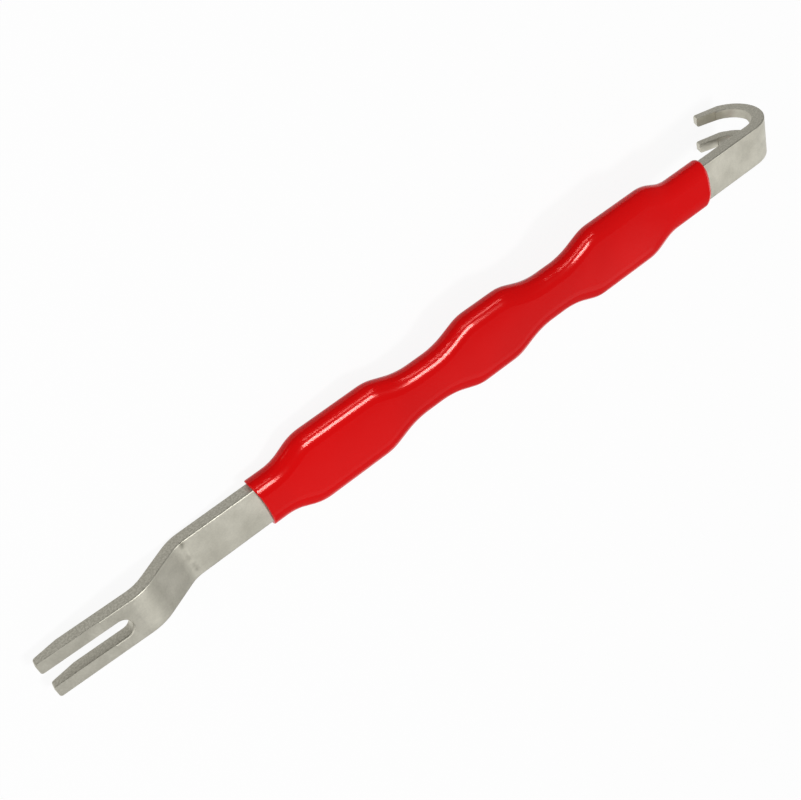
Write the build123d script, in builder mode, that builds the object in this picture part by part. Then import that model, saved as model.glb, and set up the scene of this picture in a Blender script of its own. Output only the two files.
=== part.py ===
# Terminal removal tool: a flat steel bar, forked at both ends, with a dipped vinyl grip.
# One end is stepped up into a fork, and the other is bent back under the bar into a forked hook.
# The tool lies as it comes to rest, wide face up, on the two hook tips and the heel of the step.
# X runs from the hook to the fork, Y across the bar and Z up from the surface under it.
# The bar has its own course: s along it from the middle bulge to the fork, h up from its wide face.
from build123d import *
from math import asin, atan2, cos, degrees, hypot, radians, sin, tan
import os

os.makedirs("parts", exist_ok=True)

# Steel bar
bar_width = 10.7
bar_thickness = 3.3
edge_radius = 0.35         # tumbled edges of the blank

# Waves of the blank under the grip: a short bulge in the middle and a long one each side
bulge_width = 17.1
bulge_pitch = 43.8         # from the middle bulge to the middle of a long one
short_bulge_flat = 12.8
long_bulge_flat = 20.6
waist_slope = 21.5         # degrees, of the shoulders beside a waist
collar_slope = 26.0        # degrees, of the shoulders at the ends
bulge_corner_radius = 9.0
waist_round = 0.7          # share of a waist that its two arcs take up
waist_shoulder = 0.45      # and the most that an arc takes of the shoulder beside it
collar_radius = 12.0

# Step and fork, with places given on the wide face
step_start = 86.4          # corner where the bar turns up
step_run = 10.7            # from that corner to the next
step_rise = 5.7
step_inner_radius = 6.0
step_outer_radius = 11.0
fork_length = 24.2         # from the second corner to the tips
fork_droop = 2.6           # degrees, by which the fork falls back towards the bar
fork_slot_width = 4.5
fork_slot_depth = 19.1
fork_bevel_length = 5.5    # ground under the tips
fork_bevel_depth = 1.1
prong_corner_radius = 0.6

# Hook
hook_start = 93.9          # from the middle bulge back to the bend
hook_inner_radius = 6.6
hook_turn = 154.4          # degrees
hook_leg = 5.2             # straight end of the hook
hook_slot_width = 5.4
hook_slot_depth = 18.5     # along the middle of the wall
hook_tip_thickness = 2.5
hook_taper_length = 9.0    # along the straight line of the leg

# Lands ground on the prongs after tumbling, each a shallow step down to the tips
fork_land_length = 14.1    # on the wide face
fork_land_depth = 0.12
hook_land_length = 5.4     # on the inside of the hook
hook_land_depth = 0.2

# Vinyl grip: the dip is thin over the steel's corners and fuller on its thin sides
face_coat = 0.9            # over the wide faces
side_coat = 1.6            # beyond the thin sides
lip_swell = 0.2            # more on the sides at the hook's end
shoulder_slope = 30.0      # degrees, by which the coat falls away along its long edges
shoulder_run = 2.55        # how far in from the sides it starts to fall
shoulder_radius = 7.0      # between the wide face and that slope
side_radius = 1.7          # and between the slope and the thin side
mouth_collar = 6.3         # from the last shoulder of the waves to the mouth at the fork's end
lip_collar = 13.4          # and from the first one to the lip at the hook's end
mouth_dip = 0.7            # the mouth is hollow by this much
lip_crown = 1.3            # and the lip is crowned by this much
end_slant = 0.6            # both ends of the dip run askew, by this much at each side
mouth_radius = 0.25
lip_radius = 1.5

# Side view of the bar, in s and h
hook_outer_radius = hook_inner_radius + bar_thickness
hook_middle_radius = hook_inner_radius + bar_thickness / 2
bend_centre = Vector(-hook_start, -hook_outer_radius)
leg_angle = 90 + hook_turn                     # from +s, of the line from the bend's centre to the leg
leg_out = Vector(cos(radians(leg_angle)), sin(radians(leg_angle)))
leg_along = Vector(-sin(radians(leg_angle)), cos(radians(leg_angle)))
leg_root = bend_centre + leg_out * hook_inner_radius
leg_tip = leg_root + leg_along * hook_leg
hook_tip = leg_tip + leg_out * hook_tip_thickness

step_foot = Vector(step_start, 0)
step_head = Vector(step_start + step_run, step_rise)
step_angle = degrees(atan2(step_rise, step_run))
fork_along = Vector(cos(radians(fork_droop)), -sin(radians(fork_droop)))
fork_up = Vector(sin(radians(fork_droop)), cos(radians(fork_droop)))
fork_tip = step_head + fork_along * fork_length

# Waves in plan
wave = (bulge_width - bar_width) / 2
waist_run = wave / tan(radians(waist_slope))
collar_run = wave / tan(radians(collar_slope))
long_start = bulge_pitch - long_bulge_flat / 2
long_end = bulge_pitch + long_bulge_flat / 2
waist_length = long_start - short_bulge_flat / 2 - 2 * waist_run
waist_reach = min(waist_round * waist_length / 2, waist_shoulder * wave / sin(radians(waist_slope)))
waist_radius = waist_reach / tan(radians(waist_slope / 2))
grip_to_fork = long_end + collar_run + mouth_collar
grip_to_hook = long_end + collar_run + lip_collar
blank_reach = max(step_start + step_run + fork_length, hook_start + hook_outer_radius) + bar_width

# Heel of the step: the outside of its first bend, under the bar
heel_radius = step_inner_radius + bar_thickness
heel_centre = Vector(step_start - step_inner_radius * tan(radians(step_angle / 2)), step_inner_radius)


def rise_to(point, radius=0.0):
    """Angle above the bar's course of the line from the hook tip that runs under a point or a round."""
    reach = point - hook_tip
    return degrees(atan2(reach.Y, reach.X) - asin(radius / hypot(reach.X, reach.Y)))


fork_underside = fork_tip - fork_up * (bar_thickness - fork_bevel_depth)
grip_underside = Vector(grip_to_fork, -bar_thickness - face_coat)
rest_tilt = min(rise_to(heel_centre, heel_radius), rise_to(fork_underside), rise_to(grip_underside))

# The bar is modelled along its own course, then tilted to the rest and moved so that the tool is centred
tilt_cos, tilt_sin = cos(radians(rest_tilt)), sin(radians(rest_tilt))


def level(point):
    """Turns a point of the course into the rest's directions, before it is centred."""
    return Vector(point.X * tilt_cos + point.Y * tilt_sin, point.Y * tilt_cos - point.X * tilt_sin)


hook_end = level(bend_centre).X - hook_outer_radius
fork_end = max(level(fork_tip).X, level(fork_underside).X)
origin = Vector(-(hook_end + fork_end) / 2, 0, -level(hook_tip).Y)
rest = Location(origin, (0, rest_tilt, 0))

# Half outline of the waves in plan, from the hook's side to the fork's
half_wave = [
    (long_end + collar_run, bar_width / 2),
    (long_end, bulge_width / 2),
    (long_start, bulge_width / 2),
    (long_start - waist_run, bar_width / 2),
    (short_bulge_flat / 2 + waist_run, bar_width / 2),
    (short_bulge_flat / 2, bulge_width / 2),
]


def in_space(point):
    """A point or direction of the side view, in the bar's middle plane."""
    return Vector(point.X, 0, point.Y)


def rounded(corners, radii):
    """Edges of a line through corners, with an exactly tangent arc at each one that has a radius."""
    points = [Vector(corner) for corner in corners]
    edges, start = [], points[0]
    for before, corner, after, radius in zip(points, points[1:], points[2:], radii):
        arrive = (corner - before).normalized()
        leave = (after - corner).normalized()
        reach = radius * tan(radians(arrive.get_angle(leave) / 2))
        end = corner - arrive * reach
        edges.append(Edge.make_line(start, end))
        start = corner + leave * reach
        if radius > 0:
            edges.append(Edge.make_tangent_arc(end, arrive, start))
    return edges + [Edge.make_line(start, points[-1])]


def waved_side(grow=0.0, hook_swell=0.0):
    """Corners and radii of a long side in plan, grown outwards, with the swell along the hook's collar."""
    fork_half = [(s, half + grow) for s, half in half_wave]
    hook_half = [(-s, half) for s, half in fork_half]
    hook_collar = bar_width / 2 + grow + hook_swell
    hook_half[0] = (hook_half[0][0], hook_collar)
    fork_collar = bar_width / 2 + grow
    corners = [(-blank_reach, hook_collar)] + hook_half + fork_half[::-1] + [(blank_reach, fork_collar)]
    bulge = bulge_corner_radius + grow
    waist = waist_radius - grow
    half_radii = [collar_radius - grow, bulge, bulge, waist, waist, bulge]
    return corners, half_radii + half_radii[::-1]


with BuildPart() as steel_bar:
    # Strip of even thickness, bent along its course
    with BuildSketch(Plane.XZ):
        with BuildLine():
            bend = CenterArc(bend_centre, hook_outer_radius, 90, hook_turn)
            Line(bend @ 1, (bend @ 1) + leg_along * hook_leg)
            course = [bend @ 0, step_foot, step_head, fork_tip]
            add(rounded(course, [step_inner_radius, step_outer_radius]))
            offset(amount=bar_thickness, side=Side.LEFT)
        make_face()
        # Prongs ground thinner towards the tips, on the faces that turn away from the wide face
        fork_corner = fork_tip - fork_up * bar_thickness
        Polygon(fork_corner, fork_underside, fork_corner - fork_along * fork_bevel_length,
                align=None, mode=Mode.SUBTRACT)
        hook_corner = leg_tip + leg_out * bar_thickness
        Polygon(hook_corner, hook_tip, hook_corner - leg_along * hook_taper_length,
                align=None, mode=Mode.SUBTRACT)
    extrude(amount=bulge_width, both=True)

    # Waves of the blank, cut before it was bent, with plain corners where the waves begin under the coat
    with BuildSketch(Plane.XY):
        corners, radii = waved_side()
        radii[0] = radii[-1] = 0
        with BuildLine():
            add(rounded(corners, radii))
            mirror(about=Plane.XZ)
            for x, y in (corners[0], corners[-1]):
                Line((x, y), (x, -y))
        make_face()
    extrude(amount=3 * hook_outer_radius, both=True, mode=Mode.INTERSECT)

    # Slot of the fork, with a round end
    slot_centre = fork_tip.X - fork_slot_depth + fork_slot_width / 2
    with BuildSketch(Plane.XY):
        with Locations((slot_centre, 0)):
            Circle(fork_slot_width / 2)
            Rectangle(fork_slot_depth, fork_slot_width, align=(Align.MIN, Align.CENTER))
    extrude(amount=3 * bar_thickness, both=True, mode=Mode.SUBTRACT)

    # Slot of the hook: straight sides round the bend, and a round end square to the wall
    slot_turn = degrees((hook_slot_depth - hook_slot_width / 2 - hook_leg) / hook_middle_radius)
    slot_end_angle = leg_angle - slot_turn
    with BuildSketch(Plane.XZ):
        with Locations(bend_centre):
            Rectangle(3 * hook_outer_radius, 2 * hook_outer_radius, rotation=slot_end_angle,
                      align=(Align.CENTER, Align.MIN))
    extrude(amount=hook_slot_width / 2, both=True, mode=Mode.SUBTRACT)
    slot_out = in_space(Vector(cos(radians(slot_end_angle)), sin(radians(slot_end_angle))))
    slot_start = in_space(bend_centre) + slot_out * hook_inner_radius / 2
    with BuildSketch(Plane(origin=slot_start, x_dir=(0, 1, 0), z_dir=slot_out)):
        Circle(hook_slot_width / 2)
    extrude(amount=hook_outer_radius, mode=Mode.SUBTRACT)

    # Rounded corners of the prongs, then tumbled edges on all that shows beyond the coat
    for through, tip_point in ((in_space(fork_up), fork_tip), (in_space(leg_out), leg_tip)):
        tip_middle = in_space(tip_point)
        outward = through.cross(Vector(0, 1, 0))
        upright = steel_bar.edges().filter_by(lambda e: abs(e.tangent_at(0.5).dot(through)) > 0.999)
        at_tip = upright.filter_by(lambda e: abs(((e @ 0.5) - tip_middle).dot(outward)) < edge_radius)
        fillet(at_tip, prong_corner_radius)
    bore = steel_bar.part
    bare = long_end + collar_run + edge_radius
    fillet(steel_bar.edges().filter_by(lambda e: abs(e.center().X) > bare), edge_radius)

    # Lands on the wide face of the fork and on the inside of the hook
    for tip, along, inward, length, depth in (
            (fork_tip, fork_along, -fork_up, fork_land_length, fork_land_depth),
            (leg_tip, leg_along, leg_out, hook_land_length, hook_land_depth)):
        land_start = tip - along * length + inward * depth
        land_end = tip + along * bar_thickness + inward * depth
        with BuildSketch(Plane.XZ):
            above = inward * -bar_thickness
            Polygon(land_start, land_end, land_end + above, land_start + above, align=None)
        extrude(amount=bar_width, both=True, mode=Mode.SUBTRACT)

steel = steel_bar.part.moved(rest)
steel.label = "steel_bar"
export_step(steel, "parts/steel_bar.step")


def is_wide(face):
    """Whether a face of the dip lies along the bar's wide faces."""
    return abs(face.normal_at().Z) > 0.999


def is_level(edge, height):
    """Whether an edge stays at this height above or below the middle of the bar's thickness."""
    heights = [abs((edge @ share).Z + bar_thickness / 2) for share in (0, 0.5, 1)]
    return max(abs(one - height) for one in heights) < 0.01


with BuildPart() as vinyl_grip:
    with BuildSketch(Plane.XY.offset(-bar_thickness - face_coat)):
        corners, radii = waved_side(side_coat, lip_swell)
        with BuildLine():
            add(rounded(corners, radii))
            mirror(about=Plane.XZ)
            for x, y in (corners[0], corners[-1]):
                Line((x, y), (x, -y))
        make_face()
        with BuildLine():
            side = bar_width / 2 + side_coat + lip_swell
            lip = ThreePointArc((-grip_to_hook + end_slant, -side), (-grip_to_hook - lip_crown, 0),
                                (-grip_to_hook - end_slant, side))
            mouth = ThreePointArc((grip_to_fork + end_slant, -side), (grip_to_fork - mouth_dip, 0),
                                  (grip_to_fork - end_slant, side))
            Polyline(lip @ 0, (lip @ 0) - (0, bulge_width), (mouth @ 0) - (0, bulge_width), mouth @ 0)
            Polyline(lip @ 1, (lip @ 1) + (0, bulge_width), (mouth @ 1) + (0, bulge_width), mouth @ 1)
        make_face(mode=Mode.INTERSECT)
    extrude(amount=bar_thickness + 2 * face_coat)

    # Long edges: a sloping shoulder along both wide faces, softened above and below
    shoulder_drop = shoulder_run * tan(radians(shoulder_slope))
    for flat in vinyl_grip.faces().filter_by(is_wide):
        chamfer(flat.edges().sort_by(Axis.X)[1:-1], shoulder_run, shoulder_drop, reference=flat)
    fillet(vinyl_grip.faces().filter_by(is_wide).edges().sort_by(Axis.X)[2:-2], shoulder_radius)
    half_side = bar_thickness / 2 + face_coat - shoulder_drop
    fillet(vinyl_grip.edges().filter_by(lambda e: is_level(e, half_side)), side_radius)

    # Then the lip at the hook's end and the mouth at the fork's end
    fillet(vinyl_grip.faces().sort_by(Axis.X)[0].edges(), lip_radius)
    fillet(vinyl_grip.faces().sort_by(Axis.X)[-1].edges(), mouth_radius)
    add(bore, mode=Mode.SUBTRACT)

vinyl = vinyl_grip.part.moved(rest)
vinyl.label = "vinyl_grip"
export_step(vinyl, "parts/vinyl_grip.step")
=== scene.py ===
import math

import bmesh
import bpy
from mathutils import Matrix, Vector

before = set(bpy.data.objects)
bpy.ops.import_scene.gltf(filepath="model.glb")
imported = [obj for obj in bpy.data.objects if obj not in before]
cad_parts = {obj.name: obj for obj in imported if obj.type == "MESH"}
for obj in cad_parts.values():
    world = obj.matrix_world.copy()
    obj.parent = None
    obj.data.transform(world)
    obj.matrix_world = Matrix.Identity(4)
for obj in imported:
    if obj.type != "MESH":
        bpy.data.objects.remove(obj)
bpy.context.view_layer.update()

mm = 0.001

# The tool lies wide face up: X from the hook to the fork, Y across, Z up


def linear(hexColour):
    # sRGB hex to the linear colour that the sockets take
    parts = [int(hexColour[i:i + 2], 16) / 255 for i in (1, 3, 5)]
    return [c / 12.92 if c <= 0.04045 else ((c + 0.055) / 1.055) ** 2.4 for c in parts] + [1.0]


def place(distance, bearing, height):
    # a point around the tool: bearing in degrees from +X towards +Y, height in degrees above the floor
    b, h = math.radians(bearing), math.radians(height)
    return Vector((math.cos(b) * math.cos(h), math.sin(b) * math.cos(h), math.sin(h))) * distance


# Camera: over the fork's end, on the near thin side, and turned over as the photograph is
camera = {
    "place": (108.2 * mm, -144.5 * mm, 169.4 * mm),
    "target": (20.02 * mm, -2.66 * mm, 10.0 * mm),
    "roll": 116.97,             # degrees
    "lens": 46.36,              # mm
    "sensor": 36.0,             # mm wide
    "clip": (0.005, 20.0),      # m
}


def makeCamera(options):
    data = bpy.data.cameras.new("camera")
    data.lens = options["lens"]
    data.sensor_width = options["sensor"]
    data.clip_start, data.clip_end = options["clip"]
    eye = bpy.data.objects.new("camera", data)
    bpy.context.scene.collection.objects.link(eye)
    look = Vector(options["target"]) - Vector(options["place"])
    roll = Matrix.Rotation(math.radians(options["roll"]), 3, "Z")
    turn = look.to_track_quat("-Z", "Y").to_matrix() @ roll
    eye.matrix_world = Matrix.Translation(options["place"]) @ turn.to_4x4()
    bpy.context.scene.camera = eye


makeCamera(camera)
print("camera placed")


def addNode(tree, kind, settings=None, inputs=None, links=None):
    # one node: its properties, its socket values and the sockets that feed it.
    # Sockets that share a name go by number: a Mix node has its share at 0 and its colours at 6 and 7.
    node = tree.nodes.new(kind)
    for name, value in (settings or {}).items():
        setattr(node, name, value)
    for name, value in (inputs or {}).items():
        node.inputs[name].default_value = value
    for name, source in (links or {}).items():
        tree.links.new(source, node.inputs[name])
    return node


def newMaterial(name):
    material = bpy.data.materials.new(name)
    material.use_nodes = True
    material.node_tree.nodes.clear()
    return material, material.node_tree


# Steel: spring steel strip, blanked, bent and tumbled.
# Tumbling leaves a dull satin skin with fine dents, so reflections are broad and slightly mottled.
# The thin sides, which the die sheared, are duller and speckled; their darker colour is partly their own
# and partly painted shade.
steel = {
    "light": "#d5d2c5",
    "dark": "#bdbaad",
    "mottle": (5.0, 3.0),       # mm across a cloud, and detail
    "dent": (0.45, 2.0),        # the same for a mark of the tumbling stones
    "grit": (0.16, 1.0),        # and for the finest marks: the real ones are too small to show
    "dentTone": 0.35,           # how much the dents add to the clouds' tone
    "toneFrom": (0.45, 0.90),   # noise at the dark and at the light colour
    "roughness": (0.46, 0.55),
    "roughFrom": (0.3, 0.7),    # noise at the first and at the second roughness
    "bump": 0.012,              # mm
    "gritBump": 0.5,            # how much the grit adds to the dents' relief

    # colours of the sheared sides: duller steel, darkened partly as painted shade
    "shearedShadedLight": "#bab7ab",
    "shearedShadedDark": "#a4a195",
    "shearedFrom": (0.38, 0.62),
    "shearedRoughness": 0.1,    # more than on the rolled faces
    "sideFrom": (0.55, 0.85),   # the normal's part across the tool on a rolled and on a sheared face

    "creaseShadeColour": "#8a877b",        # painted shade: a dark line across the upper face along the crease of the first bend
    "creaseAt": 76.7,           # mm along the tool
    "creaseWidth": 1.8,         # mm
    "creaseBreak": (3.5, 2.0),  # mm across a gap in that line, and detail
    "creaseFrom": (0.42, 0.68),  # noise at a gap and at full colour
}


def addPaintedCreaseShade(tree, along, upward, breaks, options):
    # 1 on the painted shade line along the first bend's crease on the upper face, 0 elsewhere
    apart = addNode(tree, "ShaderNodeMath", {"operation": "SUBTRACT"}, {1: options["creaseAt"] * mm},
                    {0: along})
    gap = addNode(tree, "ShaderNodeMath", {"operation": "ABSOLUTE"}, links={0: apart.outputs[0]})
    line = addNode(tree, "ShaderNodeMapRange",
                   inputs={"From Max": options["creaseWidth"] / 2 * mm, "To Min": 1.0, "To Max": 0.0},
                   links={"Value": gap.outputs[0]})
    full = addNode(tree, "ShaderNodeMapRange",
                   inputs={"From Min": options["creaseFrom"][0], "From Max": options["creaseFrom"][1]},
                   links={"Value": breaks})
    brokenLine = addNode(tree, "ShaderNodeMath", {"operation": "MULTIPLY"},
                   links={0: line.outputs[0], 1: full.outputs[0]})
    upper = addNode(tree, "ShaderNodeMath", {"operation": "GREATER_THAN"}, {1: 0.0}, {0: upward})
    shadeLine = addNode(tree, "ShaderNodeMath", {"operation": "MULTIPLY"},
                     links={0: brokenLine.outputs[0], 1: upper.outputs[0]})
    return shadeLine.outputs[0]


def makeSteel(options):
    material, tree = newMaterial("tumbled_spring_steel")
    coords = addNode(tree, "ShaderNodeTexCoord").outputs
    along = addNode(tree, "ShaderNodeSeparateXYZ", links={"Vector": coords["Object"]}).outputs["X"]
    normal = addNode(tree, "ShaderNodeSeparateXYZ", links={"Vector": coords["Normal"]}).outputs
    noise = {}
    for name in ("mottle", "dent", "grit", "creaseBreak"):
        size, detail = options[name]
        texture = addNode(tree, "ShaderNodeTexNoise", inputs={"Scale": 1 / (size * mm), "Detail": detail},
                          links={"Vector": coords["Object"]})
        noise[name] = texture.outputs["Fac"]

    # rolled faces: clouds with dents, and the painted crease shade over them
    both = addNode(tree, "ShaderNodeMath", {"operation": "MULTIPLY_ADD"}, {1: options["dentTone"]},
                   {0: noise["dent"], 2: noise["mottle"]})
    tone = addNode(tree, "ShaderNodeMapRange",
                   inputs={"From Min": options["toneFrom"][0], "From Max": options["toneFrom"][1]},
                   links={"Value": both.outputs[0]})
    rolled = addNode(tree, "ShaderNodeMix", {"data_type": "RGBA"},
                     {6: linear(options["dark"]), 7: linear(options["light"])}, {0: tone.outputs[0]})
    # painted shade: a darker broken line along the first bend's crease
    shadeLine = addPaintedCreaseShade(tree, along, normal["Z"], noise["creaseBreak"], options)
    withShadeLine = addNode(tree, "ShaderNodeMix", {"data_type": "RGBA"}, {7: linear(options["creaseShadeColour"])},
                      {0: shadeLine, 6: rolled.outputs[2]})

    # sheared sides: dents alone, with more contrast, in darker colours that are partly painted shade
    torn = addNode(tree, "ShaderNodeMapRange",
                   inputs={"From Min": options["shearedFrom"][0], "From Max": options["shearedFrom"][1]},
                   links={"Value": noise["dent"]})
    shearedAndShaded = addNode(tree, "ShaderNodeMix", {"data_type": "RGBA"},
                      {6: linear(options["shearedShadedDark"]), 7: linear(options["shearedShadedLight"])},
                      {0: torn.outputs[0]})

    # a face counts as sheared, and takes the painted shade, by how far it is turned to the side
    aside = addNode(tree, "ShaderNodeMath", {"operation": "ABSOLUTE"}, links={0: normal["Y"]})
    cut = addNode(tree, "ShaderNodeMapRange",
                  inputs={"From Min": options["sideFrom"][0], "From Max": options["sideFrom"][1]},
                  links={"Value": aside.outputs[0]})
    colour = addNode(tree, "ShaderNodeMix", {"data_type": "RGBA"},
                     links={0: cut.outputs[0], 6: withShadeLine.outputs[2], 7: shearedAndShaded.outputs[2]})
    smooth = addNode(tree, "ShaderNodeMapRange",
                     inputs={"From Min": options["roughFrom"][0], "From Max": options["roughFrom"][1],
                             "To Min": options["roughness"][0], "To Max": options["roughness"][1]},
                     links={"Value": noise["grit"]})
    dullness = addNode(tree, "ShaderNodeMath", {"operation": "MULTIPLY_ADD"},
                       {1: options["shearedRoughness"]}, {0: cut.outputs[0], 2: smooth.outputs[0]})

    relief = addNode(tree, "ShaderNodeMath", {"operation": "MULTIPLY_ADD"}, {1: options["gritBump"]},
                     {0: noise["grit"], 2: noise["dent"]})
    bump = addNode(tree, "ShaderNodeBump", inputs={"Strength": 1.0, "Distance": options["bump"] * mm},
                   links={"Height": relief.outputs[0]})
    skin = addNode(tree, "ShaderNodeBsdfPrincipled", inputs={"Metallic": 1.0},
                   links={"Base Color": colour.outputs[2], "Roughness": dullness.outputs[0],
                          "Normal": bump.outputs[0]})
    addNode(tree, "ShaderNodeOutputMaterial", links={"Surface": skin.outputs[0]})
    return material


# Grip: plastisol vinyl, dipped and fused in an oven.
# It flows before it sets, so it is glossy with a faint slow ripple, and its edges are round.
vinyl = {
    "light": "#d80608",
    "dark": "#ce0406",
    "cloud": (28.0, 2.0),       # mm across a change of tone, and detail
    "toneFrom": (0.35, 0.65),   # noise at the dark and at the light colour
    "ripple": (9.0, 1.0),       # mm across a wave left by the flow, and detail
    "rippleHeight": 0.02,       # mm
    "peel": (0.5, 1.0),         # the same for the orange peel
    "peelHeight": 0.0005,       # mm
    "roughness": 0.12,
    "tint": "#ffa09a",          # of its reflections
}


def makeVinyl(options):
    material, tree = newMaterial("dipped_red_vinyl")
    where = addNode(tree, "ShaderNodeTexCoord").outputs["Object"]
    noise = {}
    for name in ("cloud", "ripple", "peel"):
        size, detail = options[name]
        texture = addNode(tree, "ShaderNodeTexNoise", inputs={"Scale": 1 / (size * mm), "Detail": detail},
                          links={"Vector": where})
        noise[name] = texture.outputs["Fac"]
    tone = addNode(tree, "ShaderNodeMapRange",
                   inputs={"From Min": options["toneFrom"][0], "From Max": options["toneFrom"][1]},
                   links={"Value": noise["cloud"]})
    colour = addNode(tree, "ShaderNodeMix", {"data_type": "RGBA"},
                     {6: linear(options["dark"]), 7: linear(options["light"])}, {0: tone.outputs[0]})
    slow = addNode(tree, "ShaderNodeBump",
                   inputs={"Strength": 1.0, "Distance": options["rippleHeight"] * mm},
                   links={"Height": noise["ripple"]})
    fine = addNode(tree, "ShaderNodeBump",
                   inputs={"Strength": 1.0, "Distance": options["peelHeight"] * mm},
                   links={"Height": noise["peel"], "Normal": slow.outputs[0]})
    skin = addNode(tree, "ShaderNodeBsdfPrincipled",
                   inputs={"Roughness": options["roughness"], "Specular Tint": linear(options["tint"])},
                   links={"Base Color": colour.outputs[2], "Normal": fine.outputs[0]})
    addNode(tree, "ShaderNodeOutputMaterial", links={"Surface": skin.outputs[0]})
    return material


def dress(nodeName, material):
    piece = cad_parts[nodeName]
    if not piece.material_slots:
        piece.data.materials.append(None)
    for slot in piece.material_slots:
        slot.material = material


dress("steel_bar", makeSteel(steel))
dress("vinyl_grip", makeVinyl(vinyl))
print("steel and vinyl dressed")

# Floor: matt white paper, which the camera sees near white, with a little of the tool's shadow
floor = {
    "size": 8.0,                # m
    "colour": "#e8e8e8",
    "glow": 0.92,               # share of plain white in what is seen of it
}


def makeFloor(options):
    mesh = bpy.data.meshes.new("floor")
    shape = bmesh.new()
    bmesh.ops.create_grid(shape, x_segments=1, y_segments=1, size=options["size"] / 2)
    shape.to_mesh(mesh)
    shape.free()
    sheet = bpy.data.objects.new("floor", mesh)
    bpy.context.scene.collection.objects.link(sheet)
    material, tree = newMaterial("white_paper")
    paper = addNode(tree, "ShaderNodeBsdfDiffuse", inputs={"Color": linear(options["colour"])})
    white = addNode(tree, "ShaderNodeEmission", inputs={"Color": linear("#ffffff"), "Strength": 1.0})
    path = addNode(tree, "ShaderNodeLightPath").outputs
    clamped = {"operation": "ADD", "use_clamp": True}
    seen = addNode(tree, "ShaderNodeMath", clamped,
                   links={0: path["Is Camera Ray"], 1: path["Is Glossy Ray"]})
    through = addNode(tree, "ShaderNodeMath", clamped,
                      links={0: seen.outputs[0], 1: path["Is Transmission Ray"]})
    share = addNode(tree, "ShaderNodeMath", {"operation": "MULTIPLY"}, {1: options["glow"]},
                    {0: through.outputs[0]})
    mix = addNode(tree, "ShaderNodeMixShader",
                  links={0: share.outputs[0], 1: paper.outputs[0], 2: white.outputs[0]})
    addNode(tree, "ShaderNodeOutputMaterial", links={"Surface": mix.outputs[0]})
    sheet.data.materials.append(material)


makeFloor(floor)

# Light: a bright soft box overhead with a weak end, a thin strip that draws the grip's second highlight,
# panels behind the tool and by its ends, and a broad fill past the fork.
# Degrees, as seen from the tool: bearing and height of the middle, and sizes along and across the tool.
# Distance in m: the fill is near, so its light falls off towards the hook. Radiance in W / (m2 sr).
lamps = {
    "overhead": {"bearing": 145.4, "height": 79.7, "along": 17.0, "across": 9.0,
                 "distance": 2.0, "radiance": 36.0},
    "overheadEnd": {"bearing": 155.5, "height": 70.9, "along": 2.5, "across": 9.0,
                    "distance": 2.0, "radiance": 9.0},
    "second": {"bearing": 218.4, "height": 74.5, "along": 22.0, "across": 2.5,
               "distance": 2.0, "radiance": 9.0},
    "wall": {"bearing": 110.6, "height": 40.0, "along": 34.0, "across": 18.0,
             "distance": 2.0, "radiance": 0.38},
    "forkWall": {"bearing": 61.0, "height": 17.0, "along": 40.0, "across": 28.0,
                 "distance": 2.0, "radiance": 1.1},
    "hookWall": {"bearing": 159.5, "height": 16.3, "along": 20.0, "across": 36.0,
                 "distance": 2.0, "radiance": 0.8},
    "stepWall": {"bearing": 143.4, "height": 14.0, "along": 10.0, "across": 28.0,
                 "distance": 2.0, "radiance": 1.6},
    "fill": {"bearing": 340.0, "height": 36.0, "along": 36.0, "across": 44.0,
             "distance": 0.8, "radiance": 1.95},
}
room = {"colour": "#ffffff", "strength": 0.18}


def makeLamp(name, options):
    data = bpy.data.lights.new(name, "AREA")
    data.shape = "RECTANGLE"
    data.size = 2 * options["distance"] * math.tan(math.radians(options["along"]) / 2)
    data.size_y = 2 * options["distance"] * math.tan(math.radians(options["across"]) / 2)
    data.energy = options["radiance"] * math.pi * data.size * data.size_y
    lamp = bpy.data.objects.new(name, data)
    bpy.context.scene.collection.objects.link(lamp)
    lamp.visible_camera = False
    at = place(options["distance"], options["bearing"], options["height"])
    # the first side of each lamp runs along the tool
    facing = at.normalized()
    side = Vector((1, 0, 0)) - facing * facing.x
    side.normalize()
    turn = Matrix((side, facing.cross(side), facing)).transposed()
    lamp.matrix_world = Matrix.Translation(at) @ turn.to_4x4()


def makeRoom(options):
    world = bpy.data.worlds.new("room")
    bpy.context.scene.world = world
    world.use_nodes = True
    tree = world.node_tree
    tree.nodes.clear()
    air = addNode(tree, "ShaderNodeBackground",
                  inputs={"Color": linear(options["colour"]), "Strength": options["strength"]})
    addNode(tree, "ShaderNodeOutputWorld", links={"Surface": air.outputs[0]})


for lampName, lampOptions in lamps.items():
    makeLamp(lampName, lampOptions)
makeRoom(room)
bpy.context.scene.view_settings.view_transform = "Standard"
print("floor, lamps and room made")
